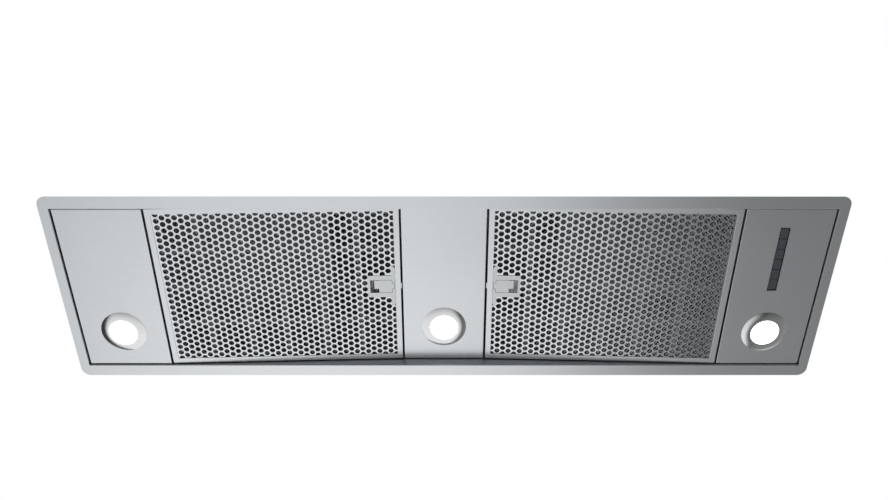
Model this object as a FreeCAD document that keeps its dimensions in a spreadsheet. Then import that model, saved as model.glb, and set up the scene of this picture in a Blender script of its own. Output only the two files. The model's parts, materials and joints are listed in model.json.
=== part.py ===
import FreeCAD, Part
import math
import os
import re

import Sketcher
from FreeCAD import Placement, Rotation, Vector

# Recessed range hood, seen from below when it hangs: a fascia frame with two swinging grease
# filters, three lamps and a row of push buttons, a plenum above them, and a blower on top.
# Millimetres. X runs along the fascia, -Y is the cook's side, Z is up, and the origin is the
# centre of the fascia's underside, which is the lowest face.

DIMENSIONS = {
    # Fascia frame
    "fascia_length": 1200,
    "fascia_depth": 320,
    "fascia_corner": 14,
    "fascia_sheet": 1.2,
    "rim_end": 15,
    "rim_side": 20,
    "upstand_height": 32,
    "board_room": 13,
    # Panels that close the fascia
    "edge_gap": 1.5,
    "panel_sheet": 1.2,
    "panel_fold": 10,
    "side_panel_length": 134,
    "side_recess": 3,
    "centre_panel_length": 131,
    "centre_recess": 18,
    "spacer_length": 20,
    "spacer_height": 4,
    "spacer_rise": 2,
    # Plenum box and its bulkheads
    "plenum_top": 110,
    "plenum_sheet": 1,
    "seam_clearance": 0.3,
    "side_fixing_spacing": 160,
    "side_fixing_level": 60,
    "side_fixing_radius": 2.5,
    # Screws
    "screw_radius": 2,
    "screw_head_radius": 3.8,
    "screw_head_height": 2,
    "screw_clearance": 0.1,
    "fascia_screw_level": 22,
    "fascia_screw_pitch": 180,
    # Blower casing, outlet collar and non-return flaps
    "casing_length": 380,
    "casing_side_gap": 11.6,
    "casing_height": 200,
    "casing_sheet": 1,
    "casing_lip": 14,
    "collar_radius": 75,
    "collar_height": 40,
    "collar_wall": 1,
    "collar_flange": 17,
    "collar_flange_sheet": 1.2,
    "flap_ledge": 3,
    "flap_ledge_level": 8,
    "flap_sheet": 1,
    "flap_edge_gap": 0.6,
    "knuckle_radius": 3,
    "knuckle_gap": 0.6,
    "knuckle_end_gap": 6,
    "knuckle_web_start": 0.5,
    "knuckle_relief": 1,
    "axle_radius": 1.5,
    "pivot_clearance": 0.1,
    "pivot_end_gap": 0.2,
    "press_clearance": 0.02,
    # Blower
    "impeller_radius": 60,
    "blade_depth": 13,
    "impeller_length": 96,
    "impeller_sheet": 2,
    "blade_sheet": 1,
    "blade_count": 32,
    "hub_radius": 14,
    "hub_length": 16,
    "shaft_radius": 4,
    "shaft_length": 46,
    "shaft_seat": 18,
    "shaft_clearance": 0.08,
    "scroll_length": 110,
    "scroll_sheet": 1,
    "scroll_tongue_gap": 8,
    "scroll_growth": 22,
    "scroll_floor_gap": 4,
    "outlet_flange_length": 180,
    "outlet_flange_depth": 150,
    "inlet_overlap": 8,
    "inlet_ring_width": 10,
    "inlet_ring_sheet": 1.5,
    "inlet_lip": 5,
    "motor_radius": 36,
    "motor_length": 54,
    "motor_hub_gap": 4,
    "motor_shoulder": 4,
    "bracket_sheet": 2,
    "bracket_arm_width": 12,
    "bracket_rim": 5,
    "motor_boss_radius": 20,
    # Lamps
    "lamp_inset": 67,
    "lamp_offset": 76.5,
    "bezel_radius": 36,
    "bezel_rim": 0.3,
    "bezel_crown": 2.65,
    "bezel_floor": 0.3,
    "bezel_neck_radius": 30.5,
    "bezel_neck_height": 6,
    "bezel_neck_wall": 1.2,
    "lens_radius": 22.2,
    "lens_clearance": 0.3,
    "lens_dip": 0.3,
    "lens_flange": 2,
    "lamp_hole_clearance": 0.5,
    "lamp_body_height": 30,
    "lamp_base_height": 6,
    "lamp_core_radius": 12,
    "lamp_fin_count": 5,
    "lamp_fin_sheet": 2,
    "clip_sheet": 0.6,
    "clip_width": 8,
    "clip_length": 13,
    # Push buttons
    "button_count": 6,
    "button_pitch": 17.7,
    "button_gap": 0.8,
    "button_width": 12.4,
    "button_height": 7,
    "button_recess": 0.6,
    "button_collar": 1.4,
    "button_collar_sheet": 1.2,
    "button_travel": 1.5,
    "button_clearance": 0.3,
    "button_offset": 54.2,
    "button_inset": 70.5,
    "button_frame_wall": 0.9,
    "button_frame_height": 4.5,
    "switch_size": 6,
    "switch_height": 3.4,
    "board_sheet": 1.6,
    "board_width": 26,
    "board_post_radius": 2.5,
    "board_post_gap": 1.5,
    # Electrics
    "control_box_length": 112,
    "control_box_depth": 132,
    "control_box_height": 42,
    "control_box_sheet": 1,
    "control_box_offset": -62,
    "board_rise": 6,
    "control_board_inset": 5,
    "control_board_edge": 4,
    "control_board_depth": 54,
    "standoff_inset": 10,
    "standoff_spacing": 44,
    "relay_count": 4,
    "relay_pitch": 20,
    "relay_length": 16,
    "relay_depth": 12,
    "relay_height": 15,
    "driver_length": 60,
    "driver_depth": 32,
    "driver_height": 22,
    "driver_inset": 6,
    "driver_edge": 8,
    "terminal_length": 30,
    "terminal_depth": 18,
    "terminal_height": 14,
    "terminal_inset": 8,
    "terminal_edge": 22,
    "terminal_well_radius": 2.2,
    "terminal_well_pitch": 9,
    "terminal_well_floor": 6,
    "capacitor_radius": 14,
    "capacitor_length": 60,
    "capacitor_gap": 40,
    "capacitor_offset": 90,
    "gland_radius": 9,
    "gland_flange": 2,
    "gland_flange_sheet": 3,
    "gland_taper": 3,
    "gland_bore": 4.2,
    "gland_nut_height": 8,
    "gland_thread_radius": 7,
    "gland_thread_length": 10,
    # Grease filters
    "filter_gap": 3,
    "filter_side_gap": 2,
    "filter_outer_recess": 4,
    "filter_height": 12,
    "filter_sheet": 0.8,
    "filter_wall": 1,
    "filter_lip": 8.5,
    "filter_fit": 0.3,
    "hole_radius": 4.3,
    "hole_pitch": 10.73,
    "hole_inset": 15.1,
    "hole_edge": 0.5,
    "mesh_inset": 6,
    "mesh_rise": 1.9,
    "mesh_thickness": 3,
    "back_grille_bar": 10,
    "back_grille_columns": 6,
    "back_grille_rows": 4,
    "pin_inset": 3.5,
    "pin_rise": 3.5,
    "pin_radius": 1.5,
    "pin_seat": 4,
    # Filter latches
    "latch_middle": 0.5,
    "latch_depth": 39,
    "latch_stem_start": 15,
    "latch_stem_end": 52,
    "latch_bar_depth": 71.3,
    "latch_bar_chamfer": 4,
    "latch_bar_chamfer_run": 2,
    "latch_bar_gap": 0.2,
    "latch_window_depth": 22.7,
    "latch_window_start": 13.5,
    "latch_pocket_wall": 0.6,
    "latch_pocket_height": 6.7,
    "slider_depth": 22.1,
    "slider_end": 34.4,
    "finger_tab_end": 41.8,
    "finger_tab_depth": 14.8,
    "finger_tab_shift": 0.4,
    "slider_flange": 2.8,
    "slider_flange_sheet": 1.2,
    "slider_flange_start": 10,
    "bolt_depth": 10.3,
    "bolt_reach": 1.8,
    "bolt_height": 3,
    "bolt_clearance": 0.4,
    "bolt_shift": 0.5,
    "tongue_gap": 1.2,
    "latch_travel": 6,
    "latch_gap": 0.3,
}

FITS = {
    "opening_x": "fascia_length / 2 - rim_end",
    "opening_y": "fascia_depth / 2 - rim_side",
    "upstand_x": "opening_x + fascia_sheet",
    "upstand_y": "opening_y + fascia_sheet",
    "plenum_inside_x": "upstand_x + seam_clearance",
    "plenum_inside_y": "upstand_y + seam_clearance",
    "plenum_outside_x": "plenum_inside_x + plenum_sheet",
    "plenum_outside_y": "plenum_inside_y + plenum_sheet",
    "plenum_bottom": "fascia_sheet + board_room",
    "plenum_ceiling": "plenum_top - plenum_sheet",
    "panel_y": "opening_y - edge_gap",
    "side_panel_far": "opening_x - edge_gap",
    "side_panel_near": "side_panel_far - side_panel_length",
    "centre_panel_x": "centre_panel_length / 2",
    "screw_hole_radius": "screw_radius + screw_clearance",
    "casing_top": "plenum_top + casing_height",
    "casing_ceiling": "casing_top - casing_sheet",
    "collar_bore": "collar_radius - collar_wall",
    "flap_level": "casing_top + flap_ledge_level + collar_flange_sheet + seam_clearance + flap_sheet / 2",
    "impeller_bore": "impeller_radius - blade_depth",
    "inlet_radius": "impeller_radius - inlet_overlap",
    "scroll_start": "impeller_radius + scroll_tongue_gap",
    "scroll_end": "scroll_start + scroll_growth",
    "fan_y": "-scroll_end / 2",
    "fan_z": "plenum_top + scroll_floor_gap + scroll_start + scroll_growth * 2 / 3",
    "scroll_front": "scroll_end / 2 + scroll_start + scroll_growth / 3 + scroll_sheet",
    "casing_depth": "2 * (scroll_front + casing_side_gap)",
    "inlet_plane": "scroll_length / 2 + scroll_sheet",
    "motor_face": "-impeller_sheet / 2 - hub_length / 2 - motor_hub_gap",
    "motor_back": "motor_face - motor_length",
    "lamp_hole_radius": "bezel_neck_radius + lamp_hole_clearance",
    "lens_bore": "lens_radius + lens_clearance",
    "lamp_x": "opening_x - edge_gap - lamp_inset",
    "lamp_base": "bezel_floor + lens_flange",
    "button_x": "opening_x - edge_gap - button_inset",
    "button_row": "button_count * button_pitch",
    "button_slot_x": "button_width / 2 + button_clearance",
    "button_slot_y": "button_row / 2 + button_clearance",
    "button_face": "side_recess + button_recess",
    "button_frame_top": "side_recess + button_frame_height",
    "button_top": "button_face + button_height",
    "switch_face": "button_top + button_travel + button_clearance",
    "board_face": "switch_face + switch_height",
    "box_ceiling": "plenum_ceiling",
    "box_floor": "plenum_ceiling - control_box_height",
    "box_x": "(side_panel_near + opening_x) / 2",
    "filter_outer": "side_panel_near - filter_gap",
    "filter_inner": "centre_panel_x + filter_gap",
    "filter_run": "filter_outer - filter_inner",
    "filter_rise": "centre_recess - filter_outer_recess",
    "filter_length": "sqrt(filter_run * filter_run + filter_rise * filter_rise)",
    "filter_tilt": "atan(filter_rise / filter_run)",
    "filter_y": "opening_y - filter_side_gap",
    "hinge_x": "filter_outer - pin_inset * cos(filter_tilt) + pin_rise * sin(filter_tilt)",
    "hinge_z": "filter_outer_recess + pin_inset * sin(filter_tilt) + pin_rise * cos(filter_tilt)",
    "grille_top": "2 * filter_sheet",
    "slider_start": "latch_window_start + latch_gap",
    "bolt_middle": "latch_middle - bolt_shift",
    "latch_bar_start": "filter_lip + latch_bar_gap",
    "latch_window_end": "finger_tab_end + latch_travel + bolt_clearance",
    "latch_hollow_end": "latch_window_end + latch_gap",
    "latch_hollow_depth": "slider_depth + 2 * slider_flange + 2 * latch_gap",
    "latch_pocket_end": "latch_hollow_end + latch_pocket_wall",
    "latch_pocket_depth": "latch_hollow_depth + 2 * latch_pocket_wall",
}

UNIT_AXES = {"x": Vector(1, 0, 0), "y": Vector(0, 1, 0), "z": Vector(0, 0, 1)}
AXIS_TURNS = {
    "x": Rotation(UNIT_AXES["y"], 90),
    "y": Rotation(UNIT_AXES["x"], -90),
    "z": Rotation(),
}
# Across each sketch plane the sketch's own x and y run along these row axes.
SKETCH_PLANES = {"xy": "XY_Plane", "xz": "XZ_Plane", "yz": "YZ_Plane"}

doc = FreeCAD.newDocument("RangeHood")
owner_of = {name: "Dims" for name in DIMENSIONS}
owner_of.update({name: "Fits" for name in FITS})
subparts = []


def bind(text, home=""):
    """Give every dimension named in an expression the sheet that holds it."""

    def refer(match):
        name = match.group(0)
        owner = owner_of.get(name, home)
        return name if owner == home else owner + "." + name

    return re.sub(r"[a-z][a-z0-9_]*", refer, text)


def fill_sheet(name, rows):
    """A sheet with one aliased row for each name."""
    sheet = doc.addObject("Spreadsheet::Sheet", name)
    for row, (alias, text) in enumerate(rows, start=1):
        sheet.set("A%d" % row, alias)
        sheet.set("B%d" % row, text)
        sheet.setAlias("B%d" % row, alias)
    return sheet


fill_sheet("Dims", [(name, str(size)) for name, size in DIMENSIONS.items()])
fits = fill_sheet("Fits", [(name, "=" + bind(text, "Fits")) for name, text in FITS.items()])
doc.recompute()


def size(text):
    """The number that an expression over the dimensions comes to."""
    found = fits.evalExpression(bind(text))
    return float(getattr(found, "Value", found))


def place(item, x="0", y="0", z="0"):
    """Tie an item's place to the dimensions."""
    for letter, text in zip("xyz", (x, y, z)):
        item.setExpression("Placement.Base." + letter, bind(text))
    return item


def box(x, y, z, name="Block"):
    """A block between a low and a high expression along each axis."""
    block = doc.addObject("Part::Box", name)
    for side, (low, high) in zip(("Length", "Width", "Height"), (x, y, z)):
        block.setExpression(side, bind("(%s) - (%s)" % (high, low)))
    return place(block, x[0], y[0], z[0])


def slab(half_x, half_y, low, high, name="Slab"):
    """A block centred on the origin in plan."""
    return box(
        ("-(%s)" % half_x, half_x), ("-(%s)" % half_y, half_y), (low, high), name
    )


def rod(radius, low, high, axis="z", at=("0", "0"), name="Rod"):
    """A cylinder along an axis, at a place given by its two other coordinates."""
    cylinder = doc.addObject("Part::Cylinder", name)
    cylinder.setExpression("Radius", bind(radius))
    cylinder.setExpression("Height", bind("(%s) - (%s)" % (high, low)))
    cylinder.Placement.Rotation = AXIS_TURNS[axis]
    spot = list(at)
    spot.insert("xyz".index(axis), low)
    return place(cylinder, *spot)


def fuse(*items, name="Union"):
    """One solid from several that touch."""
    union = doc.addObject("Part::MultiFuse", name)
    union.Shapes = list(items)
    union.Refine = True
    return union


def group(*items, name="Group"):
    """Separate solids of one kind kept together."""
    bundle = doc.addObject("Part::Compound", name)
    bundle.Links = list(items)
    return bundle


def cut(base, *tools, name="Cut"):
    """A base with every tool taken out of it."""
    result = doc.addObject("Part::Cut", name)
    result.Base = base
    result.Tool = tools[0] if len(tools) == 1 else group(*tools)
    return result


def mirror(item, name="Mirrored"):
    """The same piece on the other side of the middle."""
    twin = doc.addObject("Part::Mirroring", name)
    twin.Source = item
    twin.Normal = UNIT_AXES["x"]
    return twin


def subpart(item, label):
    """Name an item as one of the hood's own pieces."""
    item.Label = label
    subparts.append(item)
    return item


def moulded(name):
    """An empty body for sketched features."""
    return doc.addObject("PartDesign::Body", name)


def outline(body, plane, points):
    """A closed sketch on one of a body's own planes, with its corners tied to the dimensions.

    A corner is (x, y), or (x, y, radius) where the edge that leaves it is an arc that bulges to
    the right of its direction of travel.
    """
    sketch = body.newObject("Sketcher::SketchObject", body.Name + "Outline")
    role = SKETCH_PLANES[plane]
    origin_plane = [item for item in body.Origin.OriginFeatures if item.Role == role][0]
    sketch.AttachmentSupport = [(origin_plane, "")]
    sketch.MapMode = "FlatFace"
    corners = [Vector(size(point[0]), size(point[1]), 0) for point in points]
    count = len(points)
    for index, point in enumerate(points):
        start = corners[index]
        end = corners[(index + 1) % count]
        edge = Part.LineSegment(start, end)
        if len(point) == 3:
            chord = end - start
            radius = size(point[2])
            sagitta = radius - math.sqrt(radius**2 - chord.Length**2 / 4)
            outward = Vector(chord.y, -chord.x, 0).normalize()
            edge = Part.Arc(start, (start + end) / 2 + outward * sagitta, end)
        sketch.addGeometry(edge, False)
    for index, point in enumerate(points):
        sketch.addConstraint(
            Sketcher.Constraint("Coincident", index, 2, (index + 1) % count, 1)
        )
        for kind, text in (("DistanceX", point[0]), ("DistanceY", point[1])):
            rule = sketch.addConstraint(Sketcher.Constraint(kind, -1, 1, index, 1, size(text)))
            sketch.setExpression("Constraints[%d]" % rule, bind(text))
        if len(point) == 3:
            rule = sketch.addConstraint(Sketcher.Constraint("Radius", index, size(point[2])))
            sketch.setExpression("Constraints[%d]" % rule, bind(point[2]))
    return sketch


def pad(body, plane, points, length):
    """Extrude a closed outline."""
    feature = body.newObject("PartDesign::Pad", body.Name + "Pad")
    feature.Profile = outline(body, plane, points)
    feature.setExpression("Length", bind(length))
    return feature


def turned(name, points):
    """A body turned about Z from half of its section, given as (radius, height) corners."""
    body = moulded(name)
    feature = body.newObject("PartDesign::Revolution", name + "Turn")
    sketch = outline(body, "xz", points)
    feature.Profile = sketch
    feature.ReferenceAxis = (sketch, ["V_Axis"])
    feature.Angle = 360
    return body


def turned_on_x(name, points, x="0", y="0", z="0"):
    """A turned body laid along X."""
    body = turned(name, points)
    body.Placement.Rotation = AXIS_TURNS["x"]
    return place(body, x, y, z)


def rounded_plate(name, half_x, half_y, corner, thickness):
    """A plate with rounded corners, its underside at z = 0."""
    body = moulded(name)
    corners = [(sign_x + half_x, sign_y + half_y)
               for sign_x, sign_y in (("-", "-"), ("", "-"), ("", ""), ("-", ""))]
    feature = pad(body, "xy", corners, thickness)
    doc.recompute()
    upright = ["Edge%d" % number for number, edge in enumerate(feature.Shape.Edges, start=1)
               if abs(edge.tangentAt(edge.FirstParameter).z) > 0.99]
    rounding = body.newObject("PartDesign::Fillet", name + "Corners")
    rounding.Base = (feature, upright)
    rounding.setExpression("Radius", bind(corner))
    return body


# ---------------------------------------------------------------- fascia, panels and plenum

def fascia_screw_places():
    """Where screws join the fascia's upstand to the long walls of the plenum."""
    pitch = size("fascia_screw_pitch")
    count = int((size("opening_x") - pitch / 4) / pitch)
    return ["(%g) * fascia_screw_pitch" % (step + 0.5) for step in range(-count, count)]


def fascia_screw_holes():
    """Clearance holes along Y through both long walls."""
    return [rod("screw_hole_radius", "-plenum_outside_y - 1", "plenum_outside_y + 1", "y",
                (x, "fascia_screw_level"))
            for x in fascia_screw_places()]


def build_fascia():
    """The flat rim with a rounded outline, and the wall that stands up around its opening."""
    rim = rounded_plate("Rim", "fascia_length / 2", "fascia_depth / 2", "fascia_corner",
                        "fascia_sheet")
    upstand = slab("upstand_x", "upstand_y", "fascia_sheet / 2", "upstand_height")
    opening = slab("opening_x", "opening_y", "-1", "upstand_height + 1")
    pivots = [rod("pin_radius + pivot_clearance", "-upstand_y - 1", "upstand_y + 1", "y",
                  (sign + "hinge_x", "hinge_z")) for sign in ("-", "")]
    frame = cut(fuse(rim, upstand), opening, *pivots, *fascia_screw_holes())
    subpart(frame, "fascia_frame")


def folded_panel(half_y, near, far, recess, *holes):
    """A sheet with its four edges folded up."""
    face = box((near, far), ("-" + half_y, half_y), (recess, recess + " + panel_fold"))
    inside = box(
        (near + " + panel_sheet", far + " - panel_sheet"),
        ("-%s + panel_sheet" % half_y, half_y + " - panel_sheet"),
        (recess + " + panel_sheet", recess + " + panel_fold + 1"),
    )
    return cut(face, inside, *holes)


def lamp_hole(x, recess):
    """A round hole for a lamp through a panel."""
    return rod("lamp_hole_radius", recess + " - 1", recess + " + panel_sheet + 1", "z",
               (x, "lamp_offset"))


def build_panels():
    """Two end panels level with the fascia and a deeper one between the filters."""
    slot = box(
        ("button_x - button_slot_x - button_frame_wall",
         "button_x + button_slot_x + button_frame_wall"),
        ("-button_offset - button_slot_y - button_frame_wall",
         "-button_offset + button_slot_y + button_frame_wall"),
        ("side_recess - 1", "side_recess + panel_sheet + 1"),
    )
    subpart(folded_panel("panel_y", "-side_panel_far", "-side_panel_near", "side_recess",
                         lamp_hole("-lamp_x", "side_recess")), "left_end_panel")
    subpart(folded_panel("panel_y", "side_panel_near", "side_panel_far", "side_recess",
                         lamp_hole("lamp_x", "side_recess"), slot), "right_end_panel")
    subpart(folded_panel("panel_y", "-centre_panel_x", "centre_panel_x", "centre_recess",
                         lamp_hole("0", "centre_recess")), "centre_panel")


def build_spacers():
    """Blocks that hold the panels' long folds to the fascia's upstand."""
    spacers = []
    middle = "(side_panel_near + side_panel_far) / 2"
    for x, level in (("-" + middle, "side_recess"), ("0", "centre_recess"), (middle, "side_recess")):
        for side in ("-", ""):
            near, far = side + "panel_y", side + "opening_y"
            low, high = (far, near) if side else (near, far)
            for shift in ("-1.5", "0.5"):
                start = "%s + (%s) * spacer_length" % (x, shift)
                spacers.append(box(
                    (start, start + " + spacer_length"), (low, high),
                    (level + " + spacer_rise", level + " + spacer_rise + spacer_height"),
                ))
    subpart(group(*spacers), "panel_spacers")


def build_plenum():
    """The box above the fascia, open below, with a hole in its ceiling for the blower.

    It stops above the rim, so that a board can lie on the rim right up to the upstand.
    """
    shell = slab("plenum_outside_x", "plenum_outside_y", "plenum_bottom", "plenum_top")
    inside = slab("plenum_inside_x", "plenum_inside_y", "plenum_bottom - 1", "plenum_ceiling")
    blower_hole = slab("casing_length / 2 - casing_sheet", "casing_depth / 2 - casing_sheet",
                       "plenum_ceiling - 1", "plenum_top + 1")
    gland_hole = rod("gland_thread_radius + screw_clearance", "plenum_ceiling - 1",
                     "plenum_top + 1", "z", ("box_x", "control_box_offset"))
    fixings = [rod("side_fixing_radius", "-plenum_outside_x - 1", "plenum_outside_x + 1", "x",
                   (sign + "side_fixing_spacing / 2", "side_fixing_level"))
               for sign in ("-", "")]
    lip_holes = [rod("screw_hole_radius", "plenum_ceiling - 1", "plenum_top + 1", "z", spot)
                 for spot in casing_screw_places()]
    subpart(cut(shell, inside, blower_hole, gland_hole, *fixings, *fascia_screw_holes(),
                *lip_holes), "plenum_box")


def build_bulkheads():
    """Upright sheets between the air path and the two end bays."""
    wall = ("side_panel_near + panel_sheet", "side_panel_near + panel_sheet + plenum_sheet")
    upper = box(wall, ("-plenum_inside_y", "plenum_inside_y"),
                ("upstand_height + seam_clearance", "plenum_ceiling"))
    lower = box(wall, ("-panel_y + panel_sheet", "panel_y - panel_sheet"),
                ("side_recess + panel_sheet", "upstand_height + 1"))
    right = fuse(upper, lower)
    subpart(right, "right_bulkhead")
    subpart(mirror(right), "left_bulkhead")


def build_fascia_screws():
    """Pan-head screws from outside, through the plenum wall into the upstand."""
    screws = []
    for x in fascia_screw_places():
        for sign in ("-", ""):
            head = ("plenum_outside_y", "plenum_outside_y + screw_head_height")
            shank = ("opening_y", "plenum_outside_y + screw_head_height / 2")
            if sign:
                head = tuple("-(%s)" % text for text in reversed(head))
                shank = tuple("-(%s)" % text for text in reversed(shank))
            spot = (x, "fascia_screw_level")
            screws.append(fuse(rod("screw_head_radius", *head, "y", spot),
                               rod("screw_radius", *shank, "y", spot)))
    subpart(group(*screws), "fascia_screws")


# ---------------------------------------------------------------- blower casing and outlet

def casing_screw_places():
    """Where the casing's lip is screwed to the plenum's ceiling."""
    along = "(casing_length / 2 + casing_lip / 2)"
    across = "(casing_depth / 2 - casing_lip)"
    return [(a + along, b + across) for a in ("-", "") for b in ("-", "")]


def build_casing():
    """The blower's box, with lips at its two ends and a round hole for the outlet."""
    shell = slab("casing_length / 2", "casing_depth / 2", "plenum_top", "casing_top")
    lips = slab("casing_length / 2 + casing_lip", "casing_depth / 2", "plenum_top",
                "plenum_top + casing_sheet")
    inside = slab("casing_length / 2 - casing_sheet", "casing_depth / 2 - casing_sheet",
                  "plenum_top - 1", "casing_ceiling")
    outlet = rod("collar_bore", "casing_ceiling - 1", "casing_top + 1")
    holes = [rod("screw_hole_radius", "plenum_top - 1", "plenum_top + casing_sheet + 1", "z", spot)
             for spot in casing_screw_places()]
    subpart(cut(fuse(shell, lips), inside, outlet, *holes), "blower_casing")
    screws = [fuse(rod("screw_radius", "plenum_ceiling", "plenum_top + casing_sheet + 1", "z", spot),
                   rod("screw_head_radius", "plenum_top + casing_sheet",
                       "plenum_top + casing_sheet + screw_head_height", "z", spot))
              for spot in casing_screw_places()]
    subpart(group(*screws), "casing_screws")


def build_collar():
    """The outlet spigot, with a base flange outside and a ledge inside for the flaps."""
    body = turned("Collar", [
        ("collar_bore", "0"),
        ("collar_radius + collar_flange", "0"),
        ("collar_radius + collar_flange", "collar_flange_sheet"),
        ("collar_radius", "collar_flange_sheet"),
        ("collar_radius", "collar_height"),
        ("collar_bore", "collar_height"),
        ("collar_bore", "flap_ledge_level + collar_flange_sheet"),
        ("collar_bore - flap_ledge", "flap_ledge_level + collar_flange_sheet"),
        ("collar_bore - flap_ledge", "flap_ledge_level"),
        ("collar_bore", "flap_ledge_level"),
    ])
    place(body, "0", "0", "casing_top")
    pivots = rod("axle_radius + pivot_clearance", "-collar_radius - 1", "collar_radius + 1", "y",
                 ("0", "flap_level"))
    relief = box(("-knuckle_radius - knuckle_relief", "knuckle_radius + knuckle_relief"),
                 ("-collar_bore", "collar_bore"),
                 ("flap_level - knuckle_radius - knuckle_relief", "flap_level + knuckle_relief"))
    subpart(cut(body, pivots, relief), "outlet_collar")
    axle = rod("axle_radius", "-collar_radius + pivot_end_gap", "collar_radius - pivot_end_gap",
               "y", ("0", "flap_level"))
    subpart(axle, "damper_axle")


def build_flaps():
    """Two half discs on one axle, whose knuckles take turns along it."""
    disc_radius = "collar_bore - flap_edge_gap"
    knuckle_span = "(collar_bore - knuckle_end_gap) / 2"
    for label, sign, first in (("left_damper_flap", "-", "-2"), ("right_damper_flap", "", "-1")):
        disc = rod(disc_radius, "flap_level - flap_sheet / 2", "flap_level + flap_sheet / 2")
        near = "%s(knuckle_radius + knuckle_gap)" % sign
        half = (("-collar_radius", near) if sign else (near, "collar_radius"))
        keep = box(half, ("-collar_radius", "collar_radius"),
                   ("flap_level - 1", "flap_level + 1"))
        plate = doc.addObject("Part::Common", "HalfDisc")
        plate.Base = disc
        plate.Tool = keep
        pieces = [plate]
        for step in (first, str(int(first) + 2)):
            span = ("%s * %s + knuckle_gap / 2" % (step, knuckle_span),
                    "(%s + 1) * %s - knuckle_gap / 2" % (step, knuckle_span))
            pieces.append(rod("knuckle_radius", *span, "y", ("0", "flap_level")))
            reach = "knuckle_radius + 2 * knuckle_gap"
            root = "axle_radius + knuckle_web_start"
            web = ("-(%s)" % reach, "-(%s)" % root) if sign else (root, reach)
            pieces.append(box(web, span,
                              ("flap_level - flap_sheet / 2", "flap_level + flap_sheet / 2")))
        bore = rod("axle_radius + pivot_clearance", "-collar_radius", "collar_radius", "y",
                   ("0", "flap_level"))
        subpart(cut(fuse(*pieces), bore), label)


# ---------------------------------------------------------------- blower

def volute(wall):
    """The scroll's outline, a wall's thickness outside its air space, in the plane x = 0."""
    start, end = size("scroll_start"), size("scroll_end")
    middle = Vector(0, size("fan_y"), size("fan_z"))
    top = size("casing_ceiling")
    turn = math.radians(270) - math.asin(wall / (start + wall))
    steps = 14
    spiral = []
    for step in range(steps + 1):
        angle = turn * step / steps
        radius = end + wall + (start - end) * angle / math.radians(270)
        spiral.append(middle + Vector(0, math.cos(angle), -math.sin(angle)) * radius)
    curve = Part.BSplineCurve()
    curve.interpolate(spiral)
    throat_high = [Vector(0, spiral[-1].y, top), Vector(0, spiral[0].y, top)]
    edges = [
        curve.toShape(),
        Part.LineSegment(spiral[-1], throat_high[0]).toShape(),
        Part.LineSegment(throat_high[0], throat_high[1]).toShape(),
        Part.LineSegment(throat_high[1], spiral[0]).toShape(),
    ]
    return Part.Face(Part.Wire(edges))


def extruded_both_ways(face, half):
    """A face in the plane x = 0 made into a block that reaches as far on both sides."""
    moved = face.copy()
    moved.translate(Vector(-half, 0, 0))
    return moved.extrude(Vector(2 * half, 0, 0))


def build_scroll():
    """The spiral fan housing, open at both sides and at the top, with a flange to hang it by."""
    half = size("scroll_length") / 2
    sheet = size("scroll_sheet")
    middle = Vector(0, size("fan_y"), size("fan_z"))
    top = size("casing_ceiling")
    housing = extruded_both_ways(volute(sheet), half + sheet)
    long_side, short_side = size("outlet_flange_length"), size("outlet_flange_depth")
    flange = Part.makeBox(long_side, short_side, sheet,
                          Vector(-long_side / 2, -short_side / 2, top - sheet))
    air = extruded_both_ways(volute(0), half)
    overrun = Part.makeBox(2 * half, size("scroll_end"), sheet,
                           Vector(-half, size("fan_y"), top - sheet / 2))
    inlets = Part.makeCylinder(size("inlet_radius"), 2 * half + 4 * sheet,
                               middle - Vector(half + 2 * sheet, 0, 0), UNIT_AXES["x"])
    scroll = doc.addObject("Part::Feature", "Scroll")
    scroll.Shape = housing.fuse(flange).cut(air).cut(overrun).cut(inlets).removeSplitter()
    subpart(scroll, "scroll_housing")


def build_inlet_rings():
    """A flared ring on each side of the scroll, that guides air into the impeller."""
    ring = turned_on_x("InletRing", [
        ("inlet_radius - inlet_ring_sheet", "-inlet_lip"),
        ("inlet_radius - seam_clearance", "-inlet_lip"),
        ("inlet_radius - seam_clearance", "0"),
        ("inlet_radius + inlet_ring_width", "0"),
        ("inlet_radius + inlet_ring_width", "inlet_ring_sheet"),
        ("inlet_radius - inlet_ring_sheet", "inlet_ring_sheet"),
    ], "inlet_plane", "fan_y", "fan_z")
    subpart(group(ring, mirror(ring)), "inlet_rings")


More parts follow.
